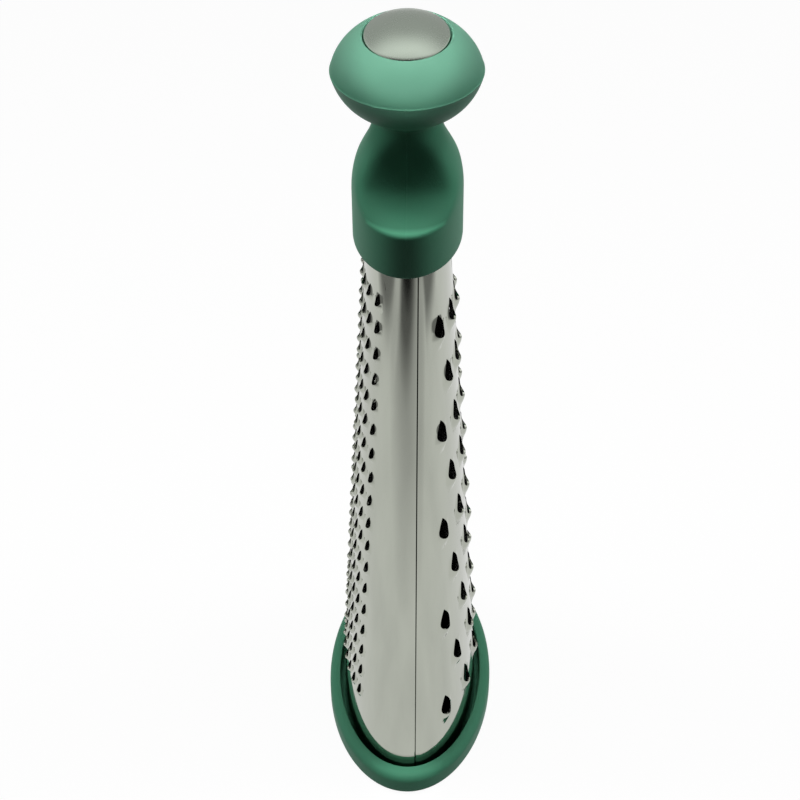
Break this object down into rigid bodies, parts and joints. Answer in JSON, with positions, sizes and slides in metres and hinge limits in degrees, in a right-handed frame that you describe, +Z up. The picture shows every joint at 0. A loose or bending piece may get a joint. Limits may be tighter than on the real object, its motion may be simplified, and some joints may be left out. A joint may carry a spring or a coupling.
{
  "type": "box grater",
  "caption": "Tall tapered oval grater of punched steel sheet, fine teeth facing one way and coarse scoops the other, with a soft foot ring and a soft-grip knob handle.",
  "frame": {"origin": "middle of the oval foot ring, on the surface that the grater stands on", "axes": "+Z up the tube to the knob, Y along the long axis of the oval with the lap seam at -Y, +X towards the coarse side"},
  "size_m": [0.0538, 0.0966, 0.2483],
  "materials": {
    "polished_steel": "polished sheet",
    "satin_steel": "satin",
    "soft_green": "matte soft-touch",
    "hard_plastic": "moulded matte"
  },
  "bodies": {
    "root": {"grater_body": "polished_steel", "base_ring": "soft_green", "handle_grip": "soft_green", "handle_core": "hard_plastic", "anchor_bar": "satin_steel", "handle_screw": "satin_steel", "screw_washer": "satin_steel", "knob_disc": "satin_steel"}
  },
  "joints": []
}
